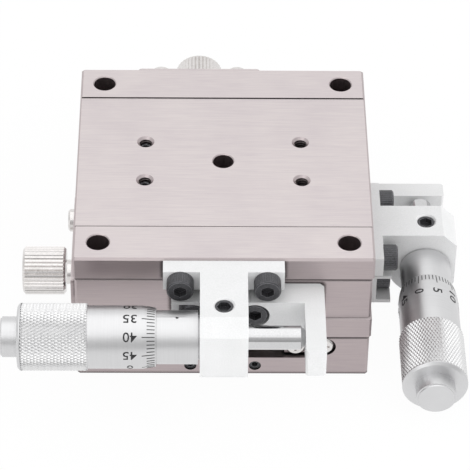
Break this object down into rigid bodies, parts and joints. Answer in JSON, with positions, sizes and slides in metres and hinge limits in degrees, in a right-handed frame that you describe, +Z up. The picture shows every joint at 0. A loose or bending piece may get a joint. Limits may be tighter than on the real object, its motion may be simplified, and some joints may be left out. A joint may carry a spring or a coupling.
{
  "type": "xy linear stage",
  "caption": "Two-axis linear stage: square table over stacked crossed-roller slides, each driven by a side micrometer head and held by a knurled lock knob.",
  "frame": {"origin": "centre of the base's underside", "axes": "+Z up to the table, +X and -X along the upper axis's travel with its thimble at -X, +Y along the lower axis's travel with its thimble at -Y"},
  "size_m": [0.093, 0.091, 0.032],
  "materials": {
    "plated_steel": "ground steel, nickel plated",
    "anodised_aluminium": "clear anodised, matt",
    "satin_chrome": "satin chrome plated",
    "black_oxide_steel": "black oxide",
    "bright_nickel": "bright nickel plated",
    "bearing_steel": "ground, oiled",
    "spring_steel": "spring wire",
    "cage_brass": "bare sheet"
  },
  "bodies": {
    "base": {"base_body": "plated_steel", "y_body_stop_screws": "bright_nickel", "y_anvil_plate": "anodised_aluminium", "y_anvil_screws": "black_oxide_steel", "y_preload_springs": "spring_steel", "y_body_spring_posts": "bearing_steel", "y_end_set_screws": "black_oxide_steel"},
    "saddle": {"middle_plate": "plated_steel", "middle_body": "plated_steel", "saddle_screws": "black_oxide_steel", "y_carriage_stop_screws": "bright_nickel", "y_micrometer_bracket": "anodised_aluminium", "y_bracket_screws": "black_oxide_steel", "y_clamp_screw": "black_oxide_steel", "y_micrometer_sleeve": "satin_chrome", "y_adjusting_nut": "satin_chrome", "y_lock_plate": "plated_steel", "y_lock_plate_screws": "bright_nickel", "y_carriage_spring_posts": "bearing_steel", "x_body_stop_screws": "bright_nickel", "x_anvil_plate": "anodised_aluminium", "x_anvil_screws": "black_oxide_steel", "x_preload_springs": "spring_steel", "x_body_spring_posts": "bearing_steel", "x_end_set_screws": "black_oxide_steel"},
    "table": {"table_plate": "plated_steel", "x_carriage_stop_screws": "bright_nickel", "x_micrometer_bracket": "anodised_aluminium", "x_bracket_screws": "black_oxide_steel", "x_clamp_screw": "black_oxide_steel", "x_micrometer_sleeve": "satin_chrome", "x_adjusting_nut": "satin_chrome", "x_lock_plate": "plated_steel", "x_lock_plate_screws": "bright_nickel", "x_carriage_spring_posts": "bearing_steel"},
    "y_cage": {"y_cages": "cage_brass", "y_rollers": "bearing_steel"},
    "x_cage": {"x_cages": "cage_brass", "x_rollers": "bearing_steel"},
    "y_spindle_unit": {"y_spindle": "satin_chrome", "y_thimble": "satin_chrome", "y_thimble_cap": "satin_chrome"},
    "x_spindle_unit": {"x_spindle": "satin_chrome", "x_thimble": "satin_chrome", "x_thimble_cap": "satin_chrome"},
    "y_lock": {"y_lock_knob": "bright_nickel"},
    "x_lock": {"x_lock_knob": "bright_nickel"}
  },
  "joints": [
    {"name": "y_slide", "type": "slide", "parent": "base", "child": "saddle", "axis": [0, 1, 0], "range_m": [-0.0065, 0.0065], "deforming": ["y_preload_springs"]},
    {"name": "x_slide", "type": "slide", "parent": "saddle", "child": "table", "axis": [1, 0, 0], "range_m": [-0.0065, 0.0065], "deforming": ["x_preload_springs"]},
    {"name": "y_cage_slide", "type": "slide", "parent": "base", "child": "y_cage", "axis": [0, 1, 0], "range_m": [-0.00325, 0.00325]},
    {"name": "x_cage_slide", "type": "slide", "parent": "saddle", "child": "x_cage", "axis": [1, 0, 0], "range_m": [-0.00325, 0.00325]},
    {"name": "y_micrometer", "type": "hinge", "parent": "base", "child": "y_spindle_unit", "pos_m": [0.04265, 0, 0.00685], "axis": [0, 1, 0], "range_deg": [-4680, 4680]},
    {"name": "x_micrometer", "type": "hinge", "parent": "saddle", "child": "x_spindle_unit", "pos_m": [0, -0.04265, 0.02285], "axis": [1, 0, 0], "range_deg": [-4680, 4680]},
    {"name": "y_lock_turn", "type": "hinge", "parent": "base", "child": "y_lock", "pos_m": [0, -0.005, 0.0057], "axis": [1, 0, 0], "range_deg": [-360, 72]},
    {"name": "x_lock_turn", "type": "hinge", "parent": "saddle", "child": "x_lock", "pos_m": [-0.005, 0, 0.0217], "axis": [0, -1, 0], "range_deg": [-360, 72]}
  ],
  "couplings": [
    {"joint": "y_micrometer", "follows": "y_slide", "rad_per_m": -12566},
    {"joint": "y_cage_slide", "follows": "y_slide", "ratio": 0.5},
    {"joint": "x_micrometer", "follows": "x_slide", "rad_per_m": -12566},
    {"joint": "x_cage_slide", "follows": "x_slide", "ratio": 0.5}
  ]
}
